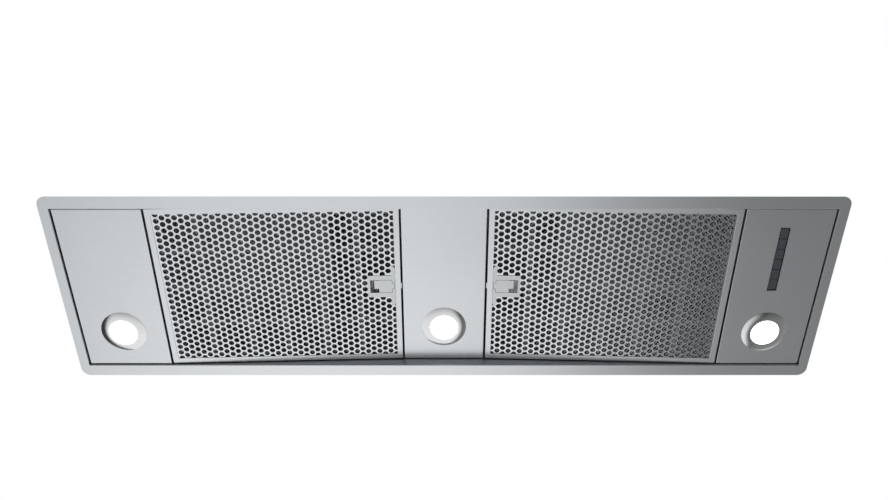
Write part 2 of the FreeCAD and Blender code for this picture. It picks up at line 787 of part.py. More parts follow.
def build_impeller():
    """A double squirrel-cage wheel: a disc in the middle, blades on both sides, two end rings."""
    length = size("impeller_length")
    sheet = size("impeller_sheet")
    outer, inner = size("impeller_radius"), size("impeller_bore")
    blade_sheet = size("blade_sheet")
    along = UNIT_AXES["x"]
    disc = Part.makeCylinder(outer - blade_sheet, sheet, Vector(-sheet / 2, 0, 0), along)
    hub = Part.makeCylinder(size("hub_radius"), size("hub_length"),
                            Vector(-size("hub_length") / 2, 0, 0), along)
    pieces = [hub]
    for end in (-length / 2, length / 2 - sheet):
        ring = Part.makeCylinder(outer, sheet, Vector(end, 0, 0), along)
        pieces.append(ring.cut(Part.makeCylinder(inner, sheet, Vector(end, 0, 0), along)))
    blade = Part.makeBox(length, outer - inner - 2 * blade_sheet, blade_sheet,
                         Vector(-length / 2, inner + blade_sheet, -blade_sheet / 2))
    blade.rotate(Vector(0, (outer + inner) / 2, 0), along, 25)
    for step in range(int(size("blade_count"))):
        copy = blade.copy()
        copy.rotate(Vector(0, 0, 0), along, 360 * step / size("blade_count"))
        pieces.append(copy)
    bore = Part.makeCylinder(size("shaft_radius + press_clearance"), length,
                             Vector(-length / 2, 0, 0), along)
    wheel = doc.addObject("Part::Feature", "Wheel")
    wheel.Shape = disc.fuse(pieces).cut(bore)
    wheel.Placement = Placement(Vector(0, size("fan_y"), size("fan_z")), Rotation())
    subpart(wheel, "impeller")
    shaft = rod("shaft_radius", "motor_face - shaft_seat", "motor_face - shaft_seat + shaft_length",
                "x", ("fan_y", "fan_z"))
    subpart(shaft, "motor_shaft")


def build_motor():
    """The motor in the left inlet, and the three-armed bracket that carries it."""
    motor = turned_on_x("Motor", [
        ("0", "0"),
        ("motor_boss_radius", "0"),
        ("motor_boss_radius", "motor_shoulder"),
        ("motor_radius - motor_shoulder", "motor_shoulder"),
        ("motor_radius", "2 * motor_shoulder"),
        ("motor_radius", "motor_length - 2 * motor_shoulder"),
        ("motor_radius - motor_shoulder", "motor_length - motor_shoulder"),
        ("hub_radius", "motor_length - motor_shoulder"),
        ("hub_radius", "motor_length"),
        ("shaft_radius + shaft_clearance", "motor_length"),
        ("shaft_radius + shaft_clearance", "motor_length - shaft_seat - 1"),
        ("0", "motor_length - shaft_seat - 1"),
    ], "motor_back", "fan_y", "fan_z")
    subpart(motor, "blower_motor")
    face = "-inlet_plane - inlet_ring_sheet"
    back = face + " - bracket_sheet"
    at = ("fan_y", "fan_z")
    pieces = [rod("motor_radius + bracket_rim", back, face, "x", at)]
    for turn in (90, 210, 330):
        arm = doc.addObject("Part::Box", "Arm")
        arm.setExpression("Length", bind("bracket_sheet"))
        arm.setExpression("Width", bind("bracket_arm_width"))
        arm.setExpression("Height", bind("inlet_radius + inlet_ring_width - seam_clearance"))
        swing = Rotation(UNIT_AXES["x"], turn)
        arm.Placement.Rotation = swing
        shift = swing.multVec(Vector(0, -0.5, 0))
        place(arm, back, "fan_y + (%g) * bracket_arm_width" % shift.y,
              "fan_z + (%g) * bracket_arm_width" % shift.z)
        pieces.append(arm)
    bore = rod("motor_radius + seam_clearance", back + " - 1", face + " + 1", "x", at)
    subpart(cut(fuse(*pieces), bore), "motor_bracket")


# ---------------------------------------------------------------- lamps

def lamp_bezel(name):
    """A ring that swells out towards the lens, with a neck through the panel."""
    span = "(bezel_radius - lens_bore)"
    arc = "((%s * %s + bezel_crown * bezel_crown) / (2 * bezel_crown))" % (span, span)
    return turned(name, [
        ("lens_bore", "-bezel_rim - bezel_crown", arc),
        ("bezel_radius", "-bezel_rim"),
        ("bezel_radius", "0"),
        ("bezel_neck_radius", "0"),
        ("bezel_neck_radius", "bezel_neck_height"),
        ("bezel_neck_radius - bezel_neck_wall", "bezel_neck_height"),
        ("bezel_neck_radius - bezel_neck_wall", "bezel_floor"),
        ("lens_bore", "bezel_floor"),
    ])


def lamp_lens(name):
    """A frosted disc whose flange lies on the bezel's floor."""
    return turned(name, [
        ("0", "-bezel_rim - bezel_crown + lens_dip"),
        ("lens_radius - lens_dip", "-bezel_rim - bezel_crown + lens_dip"),
        ("lens_radius", "-bezel_rim - bezel_crown + 2 * lens_dip"),
        ("lens_radius", "bezel_floor"),
        ("bezel_neck_radius - bezel_neck_wall - lens_clearance", "bezel_floor"),
        ("bezel_neck_radius - bezel_neck_wall - lens_clearance", "lamp_base"),
        ("0", "lamp_base"),
    ])


def lamp_heat_sink(name):
    """A turned block with round fins, standing on the lens's flange."""
    outer = "bezel_neck_radius - bezel_neck_wall - lens_clearance"
    points = [("0", "lamp_base"), (outer, "lamp_base"), (outer, "lamp_base + lamp_base_height")]
    gap = "((lamp_body_height - lamp_base_height) / lamp_fin_count - lamp_fin_sheet)"
    level = "lamp_base + lamp_base_height"
    for _ in range(int(size("lamp_fin_count"))):
        rise = level + " + " + gap
        top = rise + " + lamp_fin_sheet"
        points += [("lamp_core_radius", level), ("lamp_core_radius", rise),
                   (outer, rise), (outer, top)]
        level = top
    points.append(("0", level))
    return turned(name, points)


def lamp_clips(x, recess):
    """Two spring clips that press a lamp's neck to the back of its panel."""
    clips = []
    for sign in ("-", ""):
        edges = ("lamp_hole_radius", "lamp_hole_radius + clip_sheet",
                 "lamp_hole_radius + clip_length")
        foot = (edges[0], edges[2])
        riser = (edges[0], edges[1])
        if sign:
            foot = ("-(%s)" % foot[1], "-" + foot[0])
            riser = ("-(%s)" % riser[1], "-" + riser[0])
        across = ("lamp_offset - clip_width / 2", "lamp_offset + clip_width / 2")
        back = recess + " + panel_sheet"
        shifted = [tuple("%s + (%s)" % (x, text) for text in pair) for pair in (foot, riser)]
        clips.append(fuse(
            box(shifted[0], across, (back, back + " + clip_sheet")),
            box(shifted[1], across, (back, recess + " + bezel_neck_height")),
        ))
    return clips


def build_lamps():
    """The same lamp in each end panel and in the centre panel."""
    clips = []
    for side, x, recess in (("left", "-lamp_x", "side_recess"), ("centre", "0", "centre_recess"),
                            ("right", "lamp_x", "side_recess")):
        for piece, make in (("lamp_bezel", lamp_bezel), ("lamp_lens", lamp_lens),
                            ("lamp_heat_sink", lamp_heat_sink)):
            label = side + "_" + piece
            body = make(label.title().replace("_", ""))
            place(body, x, "lamp_offset", recess)
            subpart(body, label)
        clips += lamp_clips(x, recess)
    subpart(group(*clips), "lamp_clips")


# ---------------------------------------------------------------- push buttons and electrics

def button_middle(index):
    """The place along Y of one button in the row."""
    return "-button_offset + (%g - (button_count - 1) / 2) * button_pitch" % index


def build_buttons():
    """A row of caps, each with a collar above the frame that keeps it from falling out."""
    for index in range(int(size("button_count"))):
        middle = button_middle(index)
        half = "(button_pitch - button_gap) / 2"
        along = ("%s - %s" % (middle, half), "%s + %s" % (middle, half))
        cap = box(("button_x - button_width / 2", "button_x + button_width / 2"), along,
                  ("button_face", "button_top"))
        collar = box(("button_x - button_width / 2 - button_collar",
                      "button_x + button_width / 2 + button_collar"), along,
                     ("button_frame_top + button_clearance",
                      "button_frame_top + button_clearance + button_collar_sheet"))
        subpart(fuse(cap, collar), "button_%d" % (index + 1))


def board_span():
    """How far the switch board and the frame's lip reach along Y."""
    reach = "(button_slot_y + 3 * board_post_radius)"
    return "-button_offset - " + reach, "-button_offset + " + reach


def build_button_frame():
    """The moulded surround of the buttons, with two posts for the switch board."""
    outer = box(("button_x - button_slot_x - button_frame_wall",
                 "button_x + button_slot_x + button_frame_wall"),
                ("-button_offset - button_slot_y - button_frame_wall",
                 "-button_offset + button_slot_y + button_frame_wall"),
                ("side_recess + pivot_end_gap", "button_frame_top"))
    lip = box(("button_x - board_width / 2", "button_x + board_width / 2"), board_span(),
              ("side_recess + panel_sheet", "button_frame_top"))
    slot = box(("button_x - button_slot_x", "button_x + button_slot_x"),
               ("-button_offset - button_slot_y", "-button_offset + button_slot_y"),
               ("side_recess - 1", "button_frame_top + 1"))
    reach = "(button_slot_y + board_post_gap + board_post_radius)"
    posts = [rod("board_post_radius", "button_frame_top - 1", "board_face", "z",
                 ("button_x", "-button_offset %s %s" % (sign, reach))) for sign in ("-", "+")]
    subpart(fuse(cut(fuse(outer, lip), slot), *posts), "button_frame")


def build_switch_board():
    """A board with one push switch above each button."""
    board = box(("button_x - board_width / 2", "button_x + board_width / 2"), board_span(),
                ("board_face", "board_face + board_sheet"))
    switches = [box(("button_x - switch_size / 2", "button_x + switch_size / 2"),
                    (button_middle(index) + " - switch_size / 2",
                     button_middle(index) + " + switch_size / 2"),
                    ("switch_face", "board_face"))
                for index in range(int(size("button_count")))]
    subpart(fuse(board, *switches), "switch_board")


def build_electrics():
    """A control box under the plenum's ceiling in the right bay, with what it holds."""
    low_x, high_x = "box_x - control_box_length / 2", "box_x + control_box_length / 2"
    low_y = "control_box_offset - control_box_depth / 2"
    high_y = "control_box_offset + control_box_depth / 2"
    sheet = "control_box_sheet"
    shell = box((low_x, high_x), (low_y, high_y), ("box_floor + " + sheet, "box_ceiling"))
    inside = box(("%s + %s" % (low_x, sheet), "%s - %s" % (high_x, sheet)),
                 ("%s + %s" % (low_y, sheet), "%s - %s" % (high_y, sheet)),
                 ("box_floor", "box_ceiling - " + sheet))
    entry = rod("gland_thread_radius + screw_clearance", "box_ceiling - 2 * " + sheet,
                "box_ceiling + 1", "z", ("box_x", "control_box_offset"))
    subpart(cut(shell, inside, entry), "control_box")
    subpart(box((low_x, high_x), (low_y, high_y), ("box_floor", "box_floor + " + sheet)),
            "control_box_cover")
    floor = "box_floor + " + sheet
    board_low = low_y + " + control_board_edge"
    board_level = floor + " + board_rise"
    relay_level = board_level + " + board_sheet"
    standoffs = [
        rod("board_post_radius", floor, board_level, "z",
            (edge, "%s + control_board_edge + %s" % (board_low, reach)))
        for edge in (low_x + " + standoff_inset", high_x + " - standoff_inset")
        for reach in ("0", "standoff_spacing")
    ]
    board = box((low_x + " + control_board_inset", high_x + " - control_board_inset"),
                (board_low, board_low + " + control_board_depth"), (board_level, relay_level))
    relays = []
    for step in range(1, 1 + int(size("relay_count"))):
        start = "%s + %d * relay_pitch" % (low_x, step)
        relays.append(box((start, start + " + relay_length"),
                          (board_low + " + relay_length", board_low + " + relay_length + relay_depth"),
                          (relay_level, relay_level + " + relay_height")))
    subpart(fuse(board, *standoffs, *relays), "control_board")
    subpart(box((low_x + " + driver_inset", low_x + " + driver_inset + driver_length"),
                (high_y + " - driver_edge - driver_depth", high_y + " - driver_edge"),
                (floor, floor + " + driver_height")), "lamp_driver")
    block_end = high_x + " - terminal_inset"
    block_far = high_y + " - terminal_edge"
    block = box((block_end + " - terminal_length", block_end),
                (block_far + " - terminal_depth", block_far), (floor, floor + " + terminal_height"))
    wells = [rod("terminal_well_radius", floor + " + terminal_well_floor",
                 floor + " + terminal_height + 1", "z",
                 ("%s - terminal_length / 2 + (%d) * terminal_well_pitch" % (block_end, step),
                  block_far + " - terminal_depth / 2")) for step in (-1, 0, 1)]
    subpart(cut(block, *wells), "terminal_block")
    capacitor_end = "side_panel_near - capacitor_gap"
    subpart(rod("capacitor_radius", capacitor_end + " - capacitor_length", capacitor_end, "x",
                ("capacitor_offset", "plenum_ceiling - capacitor_radius")), "run_capacitor")
    nut_top = "gland_flange_sheet + gland_nut_height"
    gland = turned("Gland", [
        ("gland_bore", "-gland_thread_length"),
        ("gland_thread_radius", "-gland_thread_length"),
        ("gland_thread_radius", "0"),
        ("gland_radius + gland_flange", "0"),
        ("gland_radius + gland_flange", "gland_flange_sheet"),
        ("gland_radius", "gland_flange_sheet"),
        ("gland_radius", nut_top),
        ("gland_radius - gland_taper", nut_top + " + gland_taper"),
        ("gland_bore", nut_top + " + gland_taper"),
    ])
    subpart(place(gland, "box_x", "control_box_offset", "plenum_top"), "cable_gland")


# ---------------------------------------------------------------- grease filters
# A filter is built flat: x runs from its outer edge towards the middle of the hood, and z = 0
# is its underside. It is then tilted about its outer lower edge and mirrored for the right.

def from_inner_edge(offset):
    """The place along a filter that lies this far from its inner edge."""
    return "filter_length - (%s)" % offset


def latch_block(start, end, depth, middle, low, high):
    """A block of a latch, from start to end measured from the filter's inner edge."""
    return box((from_inner_edge(end), from_inner_edge(start)),
               ("%s - %s / 2" % (middle, depth), "%s + %s / 2" % (middle, depth)), (low, high))


def seat(item):
    """Move a flat filter piece to its tilted place on the left."""
    item.Placement.Rotation = Rotation(UNIT_AXES["y"], -size("filter_tilt"))
    return place(item, "-filter_outer", "0", "filter_outer_recess")


def both_sides(item, name):
    """Seat a filter piece on the left and mirror it to the right."""
    left = subpart(seat(item), "left_" + name)
    subpart(mirror(left), "right_" + name)


def filter_frame():
    """The tray that holds the filter: a folded rim with a lip, pierced for the pins and bolt."""
    tray = box(("0", "filter_length"), ("-filter_y", "filter_y"), ("0", "filter_height"))
    inside = box(("filter_wall", "filter_length - filter_wall"),
                 ("-filter_y + filter_wall", "filter_y - filter_wall"),
                 ("filter_sheet", "filter_height + 1"))
    window = box(("filter_lip", "filter_length - filter_lip"),
                 ("-filter_y + filter_lip", "filter_y - filter_lip"), ("-1", "filter_sheet + 1"))
    pins = rod("pin_radius + press_clearance", "-filter_y - 1", "filter_y + 1", "y",
               ("pin_inset", "pin_rise"))
    bolt = latch_block("-1", "filter_wall + 1", "(bolt_depth + 2 * bolt_clearance)", "bolt_middle",
                       "filter_sheet", "grille_top + bolt_height")
    return cut(tray, inside, window, pins, bolt)


def hinge_pins():
    """A short pin through each end wall of the frame, into the fascia's upstand."""
    pins = []
    for sign in ("-", ""):
        span = ("filter_y - pin_seat", "upstand_y - pivot_end_gap")
        if sign:
            span = tuple("-(%s)" % text for text in reversed(span))
        pins.append(rod("pin_radius", *span, "y", ("pin_inset", "pin_rise")))
    return group(*pins)


def latch_cut_out(low, high):
    """The space that the latch's pocket takes out of the filter's layers."""
    return latch_block("-1", "latch_pocket_end + filter_fit",
                       "(latch_pocket_depth + 2 * filter_fit)", "latch_middle", low, high)


def perforated_grille():
    """A sheet with staggered round holes, in columns across the filter, clear of the latch.

    The holes run on under the frame's lip and the latch's plate, which cut them off.
    """
    length, half_y = size("filter_length"), size("filter_y")
    edge = size("filter_wall + filter_fit")
    sheet = size("filter_sheet")
    pitch, radius = size("hole_pitch"), size("hole_radius")
    column_step = pitch * math.sqrt(3) / 2
    notch_x = length - size("latch_pocket_end + filter_fit")
    notch_low = size("latch_middle - latch_pocket_depth / 2 - filter_fit")
    notch_high = size("latch_middle + latch_pocket_depth / 2 + filter_fit")
    keep_off = radius + size("hole_edge")
    far, side = length - edge, half_y - edge
    last_x, last_y = far - keep_off, side - keep_off
    corners = [(edge, -side), (far, -side), (far, notch_low), (notch_x, notch_low),
               (notch_x, notch_high), (far, notch_high), (far, side), (edge, side), (edge, -side)]
    rim = Part.makePolygon([Vector(x, y, sheet) for x, y in corners])
    holes = []
    column = 0
    x = size("hole_inset")
    while x < last_x:
        rows = int(last_y / pitch) + 1
        for row in range(-rows, rows + 1):
            y = pitch * (row + 0.5 * (column % 2))
            covered = x > notch_x - keep_off and notch_low - keep_off < y < notch_high + keep_off
            if abs(y) < last_y and not covered:
                circle = Part.Circle(Vector(x, y, sheet), UNIT_AXES["z"], radius)
                holes.append(Part.Wire(circle.toShape()))
        column += 1
        x += column_step
    face = Part.makeFace([rim] + holes, "Part::FaceMakerBullseye")
    grille = doc.addObject("Part::Feature", "PerforatedSheet")
    grille.Shape = face.extrude(Vector(0, 0, sheet))
    return grille


def mesh_pack():
    """The layers of expanded mesh, as one pad."""
    pad_block = box(("mesh_inset", "filter_length - filter_wall - filter_fit"),
                    ("-filter_y + filter_wall + filter_fit", "filter_y - filter_wall - filter_fit"),
                    ("mesh_rise", "mesh_rise + mesh_thickness"))
    return cut(pad_block, latch_cut_out("0", "filter_height"))


def back_grille():
    """The bars that hold the mesh down from above."""
    low = "mesh_rise + mesh_thickness"
    plate = box(("mesh_inset", "filter_length - filter_wall - filter_fit"),
                ("-filter_y + filter_wall + filter_fit", "filter_y - filter_wall - filter_fit"),
                (low, low + " + filter_sheet"))
    step_x = "((filter_length - mesh_inset - back_grille_bar) / back_grille_columns)"
    step_y = "(2 * (filter_y - back_grille_bar) / back_grille_rows)"
    windows = []
    for column in range(int(size("back_grille_columns"))):
        for row in range(int(size("back_grille_rows"))):
            x = "mesh_inset + back_grille_bar + %d * %s" % (column, step_x)
            y = "-filter_y + 1.5 * back_grille_bar + %d * %s" % (row, step_y)
            windows.append(box((x, "%s + %s - back_grille_bar" % (x, step_x)),
                               (y, "%s + %s - back_grille_bar" % (y, step_y)),
                               (low + " - 1", low + " + filter_sheet + 1")))
    return cut(plate, latch_cut_out("0", "filter_height"), *windows)


def latch_housing():
    """A T-shaped plate level with the rim, and the pocket behind it that the slider runs in."""
    stem = latch_block("latch_stem_start - 1", "latch_stem_end", "latch_depth", "latch_middle",
                       "0", "filter_sheet")
    start = "latch_bar_start"
    chamfer_end = start + " + latch_bar_chamfer_run"
    half = "latch_bar_depth / 2"
    bar = moulded("LatchBar")
    pad(bar, "xy", [
        (from_inner_edge("latch_stem_start"), "latch_middle - %s" % half),
        (from_inner_edge(chamfer_end), "latch_middle - %s" % half),
        (from_inner_edge(start), "latch_middle - %s + latch_bar_chamfer" % half),
        (from_inner_edge(start), "latch_middle + %s - latch_bar_chamfer" % half),
        (from_inner_edge(chamfer_end), "latch_middle + %s" % half),
        (from_inner_edge("latch_stem_start"), "latch_middle + %s" % half),
    ], "filter_sheet")
    pocket = latch_block(start, "latch_pocket_end", "latch_pocket_depth", "latch_middle",
                         "filter_sheet / 2", "filter_sheet + latch_pocket_height")
    hollow = latch_block(start + " - 1", "latch_hollow_end", "latch_hollow_depth", "latch_middle",
                         "filter_sheet", "filter_sheet + latch_pocket_height - latch_pocket_wall")
    window = latch_block("latch_window_start", "latch_window_end", "latch_window_depth",
                         "latch_middle", "-1", "filter_sheet + 1")
    slot = latch_block(start + " + tongue_gap", "latch_window_start + 1",
                       "(bolt_depth + 2 * bolt_clearance)", "bolt_middle", "-1", "filter_sheet + 1")
    return cut(fuse(stem, bar, pocket), hollow, window, slot)


def latch_slider():
    """The slider: a face in the window, a finger tab, a flange that keeps it in, and the bolt."""
    face = latch_block("slider_start", "slider_end", "slider_depth", "latch_middle",
                       "0", "filter_sheet + 2 * latch_gap")
    tab_middle = "(latch_middle - slider_depth / 2 + finger_tab_shift + finger_tab_depth / 2)"
    tab = latch_block("slider_end - 1", "finger_tab_end", "finger_tab_depth", tab_middle,
                      "0", "filter_sheet + 2 * latch_gap")
    tongue = latch_block("latch_bar_start + tongue_gap + latch_gap", "slider_start + 1", "bolt_depth",
                         "bolt_middle", "0", "filter_sheet + 2 * latch_gap")
    flange_low = "filter_sheet + latch_gap"
    flange = latch_block("slider_flange_start", "slider_end", "(slider_depth + 2 * slider_flange)",
                         "latch_middle", flange_low, flange_low + " + slider_flange_sheet")
    bolt = latch_block("-bolt_reach", "slider_start", "bolt_depth", "bolt_middle",
                       flange_low, flange_low + " + bolt_height")
    return fuse(face, tab, tongue, flange, bolt)


def build_filters():
    """Both filters, piece by piece."""
    both_sides(filter_frame(), "filter_frame")
    both_sides(hinge_pins(), "hinge_pins")
    both_sides(perforated_grille(), "filter_grille")
    both_sides(mesh_pack(), "filter_mesh")
    both_sides(back_grille(), "filter_back_grille")
    both_sides(latch_housing(), "latch_housing")
    both_sides(latch_slider(), "latch_slider")


build_fascia()
build_panels()
build_spacers()
build_plenum()
build_bulkheads()
build_fascia_screws()
build_casing()
build_collar()
build_flaps()
build_scroll()
build_inlet_rings()
build_impeller()
build_motor()
build_lamps()
build_buttons()
build_button_frame()
build_switch_board()
build_electrics()
build_filters()
doc.recompute()

failed = [item.Label for item in doc.Objects
          if "Invalid" in item.State or "Error" in item.State]
failed += [item.Label for item in subparts if item.Shape.isNull() or not item.Shape.isValid()]
if failed:
    raise RuntimeError("not built: " + ", ".join(failed))

os.makedirs("parts", exist_ok=True)
for item in subparts:
    item.Shape.exportStep(os.path.join("parts", item.Label + ".step"))
print(len(subparts), "sub-parts written")
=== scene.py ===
import json
import math

import bpy
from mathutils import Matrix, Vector


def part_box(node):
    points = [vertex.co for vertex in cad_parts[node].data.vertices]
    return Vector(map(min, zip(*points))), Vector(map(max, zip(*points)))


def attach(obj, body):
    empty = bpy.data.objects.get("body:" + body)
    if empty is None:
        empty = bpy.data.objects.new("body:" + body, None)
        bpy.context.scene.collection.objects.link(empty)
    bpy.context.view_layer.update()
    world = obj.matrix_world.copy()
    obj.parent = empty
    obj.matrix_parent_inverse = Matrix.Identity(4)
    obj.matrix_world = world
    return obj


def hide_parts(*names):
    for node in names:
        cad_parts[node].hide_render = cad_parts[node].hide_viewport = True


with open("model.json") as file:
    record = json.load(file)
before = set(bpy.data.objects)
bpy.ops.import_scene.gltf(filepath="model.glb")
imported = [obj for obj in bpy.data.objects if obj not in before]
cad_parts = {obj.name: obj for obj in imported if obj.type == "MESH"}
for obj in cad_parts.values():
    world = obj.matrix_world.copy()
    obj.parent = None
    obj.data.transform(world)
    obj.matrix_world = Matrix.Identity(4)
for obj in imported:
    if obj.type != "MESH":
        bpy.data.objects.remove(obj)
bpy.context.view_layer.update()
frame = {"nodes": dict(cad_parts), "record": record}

# A recessed range hood, hung with its fascia facing down. Everything is in metres, in the frame's
# own axes: X along the fascia, -Y the cook's side, Z up, and z = 0 is the fascia's underside.

MM = 0.001

# Where each moving or fixed piece rides.
BODY_OF = {node: body for body, nodes in frame["record"]["behaviour"]["bodies"].items()
           for node in nodes}
SLOT_OF = {entry["node"]: entry["material_slot"] for entry in frame["record"]["subparts"]}
JOINTS = {joint["name"]: joint for joint in frame["record"]["behaviour"]["joints"]}


# ---------------------------------------------------------------- colour and material helpers

def srgb(code):
    """A hex colour as the linear numbers that a shader takes."""
    parts = [int(code[start:start + 2], 16) / 255 for start in (1, 3, 5)]
    return tuple(p / 12.92 if p <= 0.04045 else ((p + 0.055) / 1.055) ** 2.4
                 for p in parts) + (1.0,)


def add_node(tree, kind, settings=None, inputs=None, links=None):
    """Add one node, set its properties and sockets, and link sockets from other nodes."""
    node = tree.nodes.new(kind)
    for name, value in (settings or {}).items():
        setattr(node, name, value)
    for name, value in (inputs or {}).items():
        node.inputs[name].default_value = value
    for name, (source, socket) in (links or {}).items():
        tree.links.new(source.outputs[socket], node.inputs[name])
    return node


def new_material(name):
    """An empty material with its shader and its object coordinates."""
    material = bpy.data.materials.new(name)
    material.use_nodes = True
    tree = material.node_tree
    tree.nodes.clear()
    shader = add_node(tree, "ShaderNodeBsdfPrincipled")
    add_node(tree, "ShaderNodeOutputMaterial", links={"Surface": (shader, "BSDF")})
    place = add_node(tree, "ShaderNodeTexCoord")
    return material, tree, shader, place


def set_shader(shader, **values):
    """Set constants on the shader's own sockets; an underscore stands for a space."""
    for name, value in values.items():
        shader.inputs[name.replace("_", " ")].default_value = value


def ramp(tree, source, socket, stops):
    """A colour ramp from (place, hex colour) stops."""
    node = add_node(tree, "ShaderNodeValToRGB", links={"Fac": (source, socket)})
    elements = node.color_ramp.elements
    while len(elements) < len(stops):
        elements.new(0.5)
    for element, (spot, code) in zip(elements, stops):
        element.position = spot
        element.color = srgb(code)
    return node


def surface_output(tree):
    """The node that a material's surface ends in."""
    return next(node for node in tree.nodes if node.type == "OUTPUT_MATERIAL")


def spread(tree, source, socket, low, high):
    """Stretch a 0 to 1 pattern to a range of values."""
    return add_node(tree, "ShaderNodeMapRange", inputs={"To Min": low, "To Max": high},
                    links={"Value": (source, socket)})


def brushed_steel(name, colours, rough, grain_mm, along=(1.0, 1.0, 1.0), bump=0.02):
    """Rolled sheet with a fine brushed grain, drawn out along one axis.

    The grain is drawn a few times too coarse, which gives the eye a faint streak in the gloss
    instead of a flat mirror.
    """
    material, tree, shader, place = new_material(name)
    stretch = add_node(tree, "ShaderNodeMapping", inputs={"Scale": along},
                       links={"Vector": (place, "Object")})
    grain = add_node(tree, "ShaderNodeTexNoise",
                     inputs={"Scale": 1 / (grain_mm * MM), "Detail": 3.0, "Roughness": 0.6},
                     links={"Vector": (stretch, "Vector")})
    smear = add_node(tree, "ShaderNodeTexNoise", inputs={"Scale": 7.0, "Detail": 2.0},
                     links={"Vector": (place, "Object")})
    colour = ramp(tree, grain, "Fac", [(0.3, colours[0]), (0.7, colours[1])])
    tree.links.new(colour.outputs["Color"], shader.inputs["Base Color"])
    gloss = spread(tree, smear, "Fac", rough[0], rough[1])
    tree.links.new(gloss.outputs["Result"], shader.inputs["Roughness"])
    relief = add_node(tree, "ShaderNodeBump", inputs={"Strength": bump, "Distance": 0.0002},
                      links={"Height": (grain, "Fac")})
    tree.links.new(relief.outputs["Normal"], shader.inputs["Normal"])
    set_shader(shader, Metallic=1.0)
    return material


def galvanised():
    """Hot-dip galvanised sheet: a zinc skin that has crystallised into pale and dark spangles."""
    material, tree, shader, place = new_material("galvanised_sheet")
    crystals = add_node(tree, "ShaderNodeTexVoronoi", inputs={"Scale": 1 / (9 * MM)},
                        links={"Vector": (place, "Object")})
    colour = ramp(tree, crystals, "Color", [(0.2, "#A2A6AA"), (0.8, "#B0B4B8")])
    tree.links.new(colour.outputs["Color"], shader.inputs["Base Color"])
    gloss = spread(tree, crystals, "Color", 0.40, 0.50)
    tree.links.new(gloss.outputs["Result"], shader.inputs["Roughness"])
    set_shader(shader, Metallic=1.0)
    return material


def moulded_plastic(name, colours, rough, grain_mm, bump=0.15):
    """Injection-moulded plastic with a spark-eroded grain that breaks up its gloss."""
    material, tree, shader, place = new_material(name)
    grain = add_node(tree, "ShaderNodeTexNoise",
                     inputs={"Scale": 1 / (grain_mm * MM), "Detail": 2.0},
                     links={"Vector": (place, "Object")})
    colour = ramp(tree, grain, "Fac", [(0.3, colours[0]), (0.7, colours[1])])
    tree.links.new(colour.outputs["Color"], shader.inputs["Base Color"])
    gloss = spread(tree, grain, "Fac", rough[0], rough[1])
    tree.links.new(gloss.outputs["Result"], shader.inputs["Roughness"])
    relief = add_node(tree, "ShaderNodeBump", inputs={"Strength": bump, "Distance": 0.0001},
                      links={"Height": (grain, "Fac")})
    tree.links.new(relief.outputs["Normal"], shader.inputs["Normal"])
    set_shader(shader, IOR=1.5)
    return material


def opal_lens():
    """Opal polycarbonate diffuser lit from behind: even white with a faint fine speckle."""
    material, tree, shader, place = new_material("opal_polycarbonate_lit")
    speck = add_node(tree, "ShaderNodeTexNoise", inputs={"Scale": 900.0},
                     links={"Vector": (place, "Object")})
    colour = ramp(tree, speck, "Fac", [(0.3, "#FAFAF6"), (0.7, "#FFFFFF")])
    tree.links.new(colour.outputs["Color"], shader.inputs["Base Color"])
    tree.links.new(colour.outputs["Color"], shader.inputs["Emission Color"])
    set_shader(shader, Roughness=0.35, Emission_Strength=2.2, IOR=1.58)
    return material


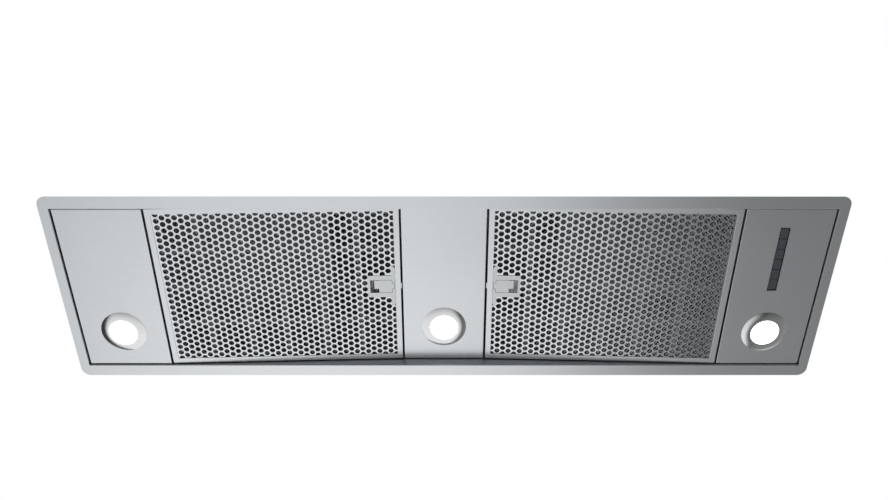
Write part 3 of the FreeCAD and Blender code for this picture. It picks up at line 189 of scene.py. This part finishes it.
def build_materials():
    """One material for each of the record's slots."""
    return {
        # Rolled 304 sheet, brushed along its length: a soft streaky gloss.
        "satin_stainless": brushed_steel("stainless_304_brushed", ("#E4E8EB", "#EDF1F4"),
                                         (0.36, 0.41), 0.35, (0.02, 1.0, 1.0)),
        # The same steel punched and left as rolled: smoother and glossier than the brushed faces.
        "perforated_stainless": brushed_steel("stainless_304_punched", ("#DADEE1", "#E4E8EA"),
                                              (0.16, 0.22), 0.4, (1.0, 1.0, 1.0)),
        # Slit and stretched aluminium foil: bright where a strand faces the light.
        "expanded_aluminium": brushed_steel("aluminium_expanded", ("#D4D6D8", "#EDEEEF"),
                                            (0.2, 0.3), 0.5, (1.0, 1.0, 1.0)),
        # Zinc die-casting under silver lacquer: pale, with a soft even sheen.
        "latch_zinc": brushed_steel("zinc_diecast_lacquered", ("#D5D8DA", "#DFE2E4"),
                                    (0.36, 0.42), 0.3, (1.0, 1.0, 1.0)),
        # Spun aluminium with a satin anodised skin.
        "lamp_ring": brushed_steel("aluminium_spun_anodised", ("#DDDEDF", "#E8E9EA"),
                                   (0.14, 0.18), 0.3, (1.0, 1.0, 1.0)),
        "lamp_glass": opal_lens(),
        # Die-cast heat sink with a dark anodised skin.
        "lamp_sink": brushed_steel("aluminium_black_anodised", ("#2B2D2F", "#37393C"),
                                   (0.4, 0.5), 0.4),
        # Ground and hardened steel: bright and hard-edged.
        "shaft_steel": brushed_steel("steel_ground", ("#A9ACB0", "#BCBFC2"), (0.2, 0.28), 0.3),
        # Zinc-plated screws with a faint blue passivation.
        "zinc_screw": brushed_steel("steel_zinc_plated", ("#B4B9BE", "#C6CBD0"), (0.25, 0.35), 0.4),
        "galvanised_steel": galvanised(),
        # Moulded ABS keys: dark grey, very fine grain.
        "button_grey": moulded_plastic("abs_moulded_grey", ("#363A3F", "#41454A"),
                                       (0.38, 0.48), 0.5),
        # Glass-filled nylon: near black with a dull, slightly mottled skin.
        "black_plastic": moulded_plastic("nylon_moulded_black", ("#141517", "#1D1E20"),
                                         (0.45, 0.6), 0.8),
        "fan_plastic": moulded_plastic("polypropylene_moulded", ("#34373A", "#3E4144"),
                                       (0.4, 0.5), 0.9),
        # Stove enamel on the motor's shell: a smooth coat with slight orange peel.
        "motor_black": moulded_plastic("steel_stove_enamelled", ("#1A1B1D", "#222326"),
                                       (0.25, 0.35), 1.5, 0.3),
        "white_plastic": moulded_plastic("polyamide_moulded_white", ("#DAD9D2", "#E4E3DD"),
                                         (0.4, 0.5), 0.8),
        # Epoxy glass board under green solder resist.
        "circuit_board": moulded_plastic("epoxy_glass_resist_coated", ("#0E3B22", "#15502F"),
                                         (0.2, 0.32), 1.2),
    }


# ---------------------------------------------------------------- modelling helpers

def deselect():
    """Leave edit mode and select nothing."""
    if bpy.context.object and bpy.context.object.mode != "OBJECT":
        bpy.ops.object.mode_set(mode="OBJECT")
    bpy.ops.object.select_all(action="DESELECT")


def activate(item):
    """Make one object the only one selected."""
    deselect()
    item.select_set(True)
    bpy.context.view_layer.objects.active = item


def apply_modifier(item, kind, **settings):
    """Add a modifier, set it up and apply it."""
    activate(item)
    modifier = item.modifiers.new(kind.title(), kind)
    for name, value in settings.items():
        setattr(modifier, name, value)
    bpy.ops.object.modifier_apply(modifier=modifier.name)


def settle(item):
    """Put an object's place into its mesh."""
    activate(item)
    bpy.ops.object.transform_apply(location=True, rotation=True, scale=True)


def dress(item, node):
    """Ride, slot and material of a piece that stands for a CAD node."""
    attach(item, BODY_OF[node])
    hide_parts(node)
    item.data.materials.clear()
    item.data.materials.append(MATERIALS[SLOT_OF[node]])


def bend_edges(piece, radius_mm, test):
    """Round the edges whose two ends both pass a test, as a folding press leaves them."""
    bpy.ops.object.mode_set(mode="EDIT")
    bpy.ops.mesh.select_mode(type="EDGE")
    bpy.ops.mesh.select_all(action="DESELECT")
    bpy.ops.object.mode_set(mode="OBJECT")
    spots = [vertex.co for vertex in piece.data.vertices]
    for edge in piece.data.edges:
        edge.select = all(test(spots[end]) for end in edge.vertices)
    bpy.ops.object.mode_set(mode="EDIT")
    bpy.ops.mesh.bevel(offset=radius_mm * MM, segments=4, affect="EDGES")
    bpy.ops.object.mode_set(mode="OBJECT")


def softened(node, radius_mm, segments=2, bend=None):
    """A copy of a CAD node with its facets merged and its edges rounded, as a press leaves them.

    A bend is a radius and a test that picks the corners of the edges that were folded to it.
    """
    source = frame["nodes"][node]
    piece = source.copy()
    piece.data = source.data.copy()
    bpy.context.scene.collection.objects.link(piece)
    piece.name = node + "_finished"
    world = source.matrix_world.copy()
    piece.parent = None
    piece.matrix_world = world
    activate(piece)
    bpy.ops.object.mode_set(mode="EDIT")
    bpy.ops.mesh.select_all(action="SELECT")
    bpy.ops.mesh.remove_doubles(threshold=0.01 * MM)
    bpy.ops.mesh.dissolve_limited(angle_limit=math.radians(1.0))
    bpy.ops.object.mode_set(mode="OBJECT")
    if bend:
        bend_edges(piece, *bend)
    bpy.ops.object.shade_smooth_by_angle(angle=math.radians(35))
    apply_modifier(piece, "BEVEL", width=radius_mm * MM, segments=segments, limit_method="ANGLE",
                   angle_limit=math.radians(40), use_clamp_overlap=True)
    apply_modifier(piece, "WEIGHTED_NORMAL", mode="FACE_AREA", weight=100, keep_sharp=True)
    settle(piece)
    dress(piece, node)
    return piece


PANEL_BEND_MM = 1.1
TOUCH = 0.01 * MM
UPSTAND_REACH = 3 * MM
# How far behind the latch plate the painted pocket shade begins.
POCKET_SHADE_DEPTH = 1.0 * MM


def build_fascia():
    """The fascia, rounded where its upstand is folded from the rim."""
    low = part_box("fascia_frame")[0]
    inner_x = max(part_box("right_end_panel")[1].x, -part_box("left_end_panel")[0].x) + UPSTAND_REACH
    inner_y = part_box("right_end_panel")[1].y + UPSTAND_REACH
    softened("fascia_frame", 0.4, bend=(PANEL_BEND_MM, lambda at: at.z < low.z + TOUCH
                                        and abs(at.x) < inner_x and abs(at.y) < inner_y))


def build_latch_housing(side):
    """A latch's plate in bright zinc, with the pocket behind it painted black as painted shade in
    the recess.
    """
    piece = softened(side + "_latch_housing", 0.2)
    piece.data.materials.append(MATERIALS["black_plastic"])
    plate = max((face for face in piece.data.polygons if face.normal.z < -0.9),
                key=lambda face: face.area)
    spot, outwards = plate.center.copy(), plate.normal.copy()
    # Faces deeper than this behind the plate get the black material: painted shade for the pocket.
    for face in piece.data.polygons:
        if (spot - face.center).dot(outwards) > POCKET_SHADE_DEPTH:
            face.material_index = 1


def rounded_nodes(radius_mm, *nodes):
    """Soften several nodes by the same radius."""
    for node in nodes:
        softened(node, radius_mm)


# ---------------------------------------------------------------- expanded mesh in the filters

KNUCKLE_X = 2.7 * MM
KNUCKLE_Y = 3.5 * MM
STRAND_WIDTH = 1.3 * MM
STRAND_THICKNESS = 0.3 * MM
STRAND_TILT = math.radians(-32)
LATCH_MARGIN_X = 7.6 * MM
LATCH_MARGIN_Y = 1.5 * MM


def bisect(spot, normal):
    """Cut the edited mesh with a plane and drop what lies on the side that the normal points to."""
    bpy.ops.mesh.select_all(action="SELECT")
    bpy.ops.mesh.bisect(plane_co=spot, plane_no=normal, clear_outer=True, use_fill=False)


def select_faces(item, test):
    """Select the faces of the active mesh whose centres pass a test."""
    bpy.ops.object.mode_set(mode="EDIT")
    bpy.ops.mesh.select_mode(type="FACE")
    bpy.ops.mesh.select_all(action="DESELECT")
    bpy.ops.object.mode_set(mode="OBJECT")
    for face in item.data.polygons:
        face.select = test(face.center)
    bpy.ops.object.mode_set(mode="EDIT")


def expanded_mesh(side):
    """Aluminium sheet slit and stretched into diamonds: zigzag strands that meet at knuckles.

    Slitting leaves every strand tilted the same way, so the mesh glints from one side only.
    """
    node = side + "_filter_mesh"
    low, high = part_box(node)
    joint = JOINTS[side + "_latch_slide"]
    tilt = math.atan2(-joint["axis"][2], joint["axis"][0])
    if side == "left":
        tilt = math.pi - tilt
    inwards = 1 if side == "left" else -1
    half_x = (high.x - low.x) / 2 / math.cos(tilt)
    half_y = (high.y - low.y) / 2
    bpy.ops.mesh.primitive_plane_add(size=1.0)
    mesh = bpy.context.object
    mesh.name = side + "_expanded_mesh"
    mesh.scale = (STRAND_WIDTH, KNUCKLE_Y, 1.0)
    mesh.location = (0, KNUCKLE_Y / 2, 0)
    settle(mesh)
    bpy.ops.object.mode_set(mode="EDIT")
    bpy.ops.mesh.select_all(action="SELECT")
    bpy.ops.transform.rotate(value=STRAND_TILT, orient_axis="Y", center_override=(0, 0, 0))
    bpy.ops.mesh.select_mode(type="VERT")
    bpy.ops.mesh.select_all(action="DESELECT")
    bpy.ops.object.mode_set(mode="OBJECT")
    for vertex in mesh.data.vertices:
        vertex.select = vertex.co.y > KNUCKLE_Y / 2
    bpy.ops.object.mode_set(mode="EDIT")
    bpy.ops.transform.translate(value=(KNUCKLE_X, 0, 0))
    bpy.ops.mesh.select_all(action="SELECT")
    bpy.ops.transform.translate(value=(0, -KNUCKLE_Y, 0))
    bpy.ops.object.mode_set(mode="OBJECT")
    apply_modifier(mesh, "MIRROR", use_axis=(False, True, False), merge_threshold=0.01 * MM)
    columns = int(2 * half_x / (2 * KNUCKLE_X)) + 3
    rows = int(2 * half_y / (2 * KNUCKLE_Y)) + 3
    for count, step in ((rows, (0, 2 * KNUCKLE_Y, 0)), (2, (KNUCKLE_X, KNUCKLE_Y, 0)),
                        (columns, (2 * KNUCKLE_X, 0, 0))):
        apply_modifier(mesh, "ARRAY", count=count, use_relative_offset=False,
                       use_constant_offset=True, constant_offset_displace=step,
                       use_merge_vertices=True, merge_threshold=0.01 * MM)
    mesh.location = (-(columns + 0.5) * KNUCKLE_X, -rows * KNUCKLE_Y, 0)
    settle(mesh)
    latch_low, latch_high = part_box(side + "_latch_slider")
    centre = (low + high) / 2
    notch_x = min(abs(edge - centre.x) for edge in (latch_low.x, latch_high.x)) - LATCH_MARGIN_X
    notch_y = (latch_low.y - LATCH_MARGIN_Y, latch_high.y + LATCH_MARGIN_Y)
    bpy.ops.object.mode_set(mode="EDIT")
    bisect((half_x, 0, 0), (1, 0, 0))
    bisect((-half_x, 0, 0), (-1, 0, 0))
    bisect((0, half_y, 0), (0, 1, 0))
    bisect((0, -half_y, 0), (0, -1, 0))
    bpy.ops.object.mode_set(mode="OBJECT")
    select_faces(mesh, lambda at: notch_y[0] < at.y < notch_y[1]
                 and at.x * inwards > notch_x)
    bpy.ops.mesh.delete(type="FACE")
    bpy.ops.object.mode_set(mode="OBJECT")
    apply_modifier(mesh, "SOLIDIFY", thickness=STRAND_THICKNESS, offset=0.0)
    mesh.rotation_euler = (0, -tilt if side == "left" else tilt, 0)
    mesh.location = centre
    settle(mesh)
    dress(mesh, node)
    return mesh


# ---------------------------------------------------------------- stage, lights and camera

FLOOR_LEVEL = -2.2
FLOOR_SIZE = 16.0


def grey(level):
    """The hex code of a neutral grey from its 0 to 255 level."""
    return "#" + "%02X" % level * 3


def floor_material():
    """A pale painted floor; what shines sees it bright on the left and dim on the right."""
    material, tree, shader, place = new_material("floor_paint")
    tree.nodes.remove(shader)
    axes = add_node(tree, "ShaderNodeSeparateXYZ", links={"Vector": (place, "Object")})
    fields = []
    for axis, stops in (("X", LIGHT_ACROSS), ("Y", LIGHT_ALONG)):
        spot = add_node(tree, "ShaderNodeMapRange",
                        inputs={"From Min": -FLOOR_SIZE / 4, "From Max": FLOOR_SIZE / 4},
                        links={"Value": (axes, axis)})
        fields.append(ramp(tree, spot, "Result", [
            (0.5 + metres / (FLOOR_SIZE / 2), grey(level)) for metres, level in stops]))
    both = add_node(tree, "ShaderNodeMix",
                    settings={"data_type": "RGBA", "blend_type": "MULTIPLY"},
                    inputs={"Factor": 1.0})
    tree.links.new(fields[0].outputs["Color"], both.inputs["A"])
    tree.links.new(fields[1].outputs["Color"], both.inputs["B"])
    seen = add_node(tree, "ShaderNodeEmission", links={"Color": (both, "Result")})
    paint = add_node(tree, "ShaderNodeBsdfDiffuse", inputs={"Color": srgb("#F2F2F2")})
    rays = add_node(tree, "ShaderNodeLightPath")
    shiny = add_node(tree, "ShaderNodeMath", settings={"operation": "MAXIMUM"})
    tree.links.new(rays.outputs["Is Glossy Ray"], shiny.inputs[0])
    tree.links.new(rays.outputs["Is Transmission Ray"], shiny.inputs[1])
    mix = add_node(tree, "ShaderNodeMixShader")
    tree.links.new(shiny.outputs["Value"], mix.inputs[0])
    tree.links.new(paint.outputs["BSDF"], mix.inputs[1])
    tree.links.new(seen.outputs["Emission"], mix.inputs[2])
    tree.links.new(mix.outputs["Shader"], surface_output(tree).inputs["Surface"])
    return material


# How bright the floor looks to shiny metal, as (metres, 0 to 255 grey) along X and along Y.
LIGHT_ACROSS = ((-3.9, 60), (-3.0, 60), (-2.2, 255), (0.45, 255), (1.15, 92), (1.6, 132),
                (3.9, 150))
LIGHT_ALONG = ((-1.2, 90), (0.0, 210), (0.75, 240), (1.8, 255), (4.0, 255))
# How bright the surround looks to shiny metal, as (the direction's X, 0 to 255 grey).
LIGHT_AROUND = ((-0.8, 40), (-0.6, 235), (0.6, 235), (0.8, 90))
# How strongly the surround lights what is dull.
SOFT_LIGHT = 0.55
# The soft lights, as (name, place, watts, breadth in metres); each looks at the origin.
SOFT_BOXES = (("key", (-2.0, -1.2, -1.6), 45.0, 1.6), ("fill", (1.6, -2.2, 1.8), 60.0, 2.0))


def ceiling_material():
    """The white ceiling board around the cut-out, seen from below only."""
    material, tree, shader = new_material("ceiling_board")[:3]
    tree.nodes.remove(shader)
    paint = add_node(tree, "ShaderNodeEmission", inputs={"Color": srgb("#FFFFFF")})
    clear = add_node(tree, "ShaderNodeBsdfTransparent")
    side = add_node(tree, "ShaderNodeNewGeometry")
    mix = add_node(tree, "ShaderNodeMixShader")
    tree.links.new(side.outputs["Backfacing"], mix.inputs[0])
    tree.links.new(clear.outputs["BSDF"], mix.inputs[1])
    tree.links.new(paint.outputs["Emission"], mix.inputs[2])
    tree.links.new(mix.outputs["Shader"], surface_output(tree).inputs["Surface"])
    return material


CEILING_MARGIN = 3.0
RIM_LEVEL = 1.3 * MM


def build_ceiling():
    """A thin board that lies on the fascia's rim, with the cut-out that the hood hangs through."""
    low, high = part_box("plenum_box")
    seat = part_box("fascia_frame")[0].z + RIM_LEVEL
    bpy.ops.mesh.primitive_plane_add(size=1.0)
    board = bpy.context.object
    board.name = "ceiling_board"
    board.scale = (high.x - low.x + 2 * CEILING_MARGIN, high.y - low.y + 2 * CEILING_MARGIN, 1.0)
    board.location = ((high.x + low.x) / 2, (high.y + low.y) / 2, seat)
    settle(board)
    bpy.ops.object.mode_set(mode="EDIT")
    bpy.ops.mesh.select_all(action="SELECT")
    bpy.ops.mesh.inset(thickness=CEILING_MARGIN)
    bpy.ops.mesh.delete(type="FACE")
    bpy.ops.object.mode_set(mode="OBJECT")
    board.data.materials.append(ceiling_material())
    board.visible_diffuse = False
    board.visible_glossy = False
    board.visible_transmission = False
    board.visible_shadow = False


def build_stage():
    """The floor far below, a white surround, and soft lights."""
    bpy.ops.mesh.primitive_plane_add(size=FLOOR_SIZE, location=(0, 0, FLOOR_LEVEL))
    floor = bpy.context.object
    floor.name = "floor"
    settle(floor)
    floor.data.materials.append(floor_material())
    world = bpy.data.worlds.new("surround")
    bpy.context.scene.world = world
    world.use_nodes = True
    tree = world.node_tree
    tree.nodes.clear()
    rays = add_node(tree, "ShaderNodeLightPath")
    straight = add_node(tree, "ShaderNodeMath", settings={"operation": "MAXIMUM"})
    tree.links.new(rays.outputs["Is Camera Ray"], straight.inputs[0])
    tree.links.new(rays.outputs["Is Glossy Ray"], straight.inputs[1])
    clear = add_node(tree, "ShaderNodeMath", settings={"operation": "MAXIMUM"})
    tree.links.new(straight.outputs["Value"], clear.inputs[0])
    tree.links.new(rays.outputs["Is Transmission Ray"], clear.inputs[1])
    direction = add_node(tree, "ShaderNodeTexCoord")
    axes = add_node(tree, "ShaderNodeSeparateXYZ", links={"Vector": (direction, "Generated")})
    across = add_node(tree, "ShaderNodeMapRange", inputs={"From Min": -1.0, "From Max": 1.0},
                      links={"Value": (axes, "X")})
    sides = ramp(tree, across, "Result", [((1 + reach) / 2, grey(level))
                                          for reach, level in LIGHT_AROUND])
    seen = add_node(tree, "ShaderNodeMix", settings={"data_type": "RGBA"})
    tree.links.new(rays.outputs["Is Glossy Ray"], seen.inputs["Factor"])
    seen.inputs["A"].default_value = srgb("#FFFFFF")
    tree.links.new(sides.outputs["Color"], seen.inputs["B"])
    white = add_node(tree, "ShaderNodeBackground", inputs={"Strength": 1.0},
                     links={"Color": (seen, "Result")})
    soft = add_node(tree, "ShaderNodeBackground",
                    inputs={"Color": srgb("#F4F6F8"), "Strength": SOFT_LIGHT})
    mix = add_node(tree, "ShaderNodeMixShader")
    tree.links.new(clear.outputs["Value"], mix.inputs[0])
    tree.links.new(soft.outputs["Background"], mix.inputs[1])
    tree.links.new(white.outputs["Background"], mix.inputs[2])
    output = add_node(tree, "ShaderNodeOutputWorld")
    tree.links.new(mix.outputs["Shader"], output.inputs["Surface"])
    for name, spot, power, breadth in SOFT_BOXES:
        lamp = bpy.data.lights.new(name, "AREA")
        lamp.energy = power
        lamp.size = breadth
        light = bpy.data.objects.new(name, lamp)
        light.location = spot
        light.rotation_euler = (-Vector(spot)).to_track_quat("-Z", "Y").to_euler()
        light.visible_glossy = False
        bpy.context.scene.collection.objects.link(light)


CAMERA_SPOT = (0.0, -0.5645, -0.9805)
CAMERA_PITCH = math.radians(63.36)
LENS_MM = 29.29


def build_camera():
    """The eye stands in front of the hood and about a metre below it, and looks up."""
    lens = bpy.data.cameras.new("camera")
    lens.lens = LENS_MM
    lens.sensor_width = 36.0
    camera = bpy.data.objects.new("camera", lens)
    camera.location = CAMERA_SPOT
    camera.rotation_euler = (math.radians(90) + CAMERA_PITCH, 0, 0)
    bpy.context.scene.collection.objects.link(camera)
    bpy.context.scene.camera = camera


# ---------------------------------------------------------------- the hood

MATERIALS = build_materials()
for node, item in frame["nodes"].items():
    item.data.materials.clear()
    item.data.materials.append(MATERIALS[SLOT_OF[node]])
deselect()

build_camera()
build_stage()
build_ceiling()
for node in ("left_end_panel", "right_end_panel", "centre_panel"):
    low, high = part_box(node)
    softened(node, 0.3, bend=(PANEL_BEND_MM, lambda at: at.z < low.z + TOUCH and (
        min(at.x - low.x, high.x - at.x, at.y - low.y, high.y - at.y) < TOUCH)))
build_fascia()
rounded_nodes(0.4, "left_filter_frame", "right_filter_frame")
rounded_nodes(0.2, "left_latch_slider", "right_latch_slider", "button_frame")
rounded_nodes(0.4, *["button_%d" % number for number in range(1, 7)])
for side in ("left", "right"):
    build_latch_housing(side)
    expanded_mesh(side)

bpy.context.scene.view_settings.view_transform = "Standard"
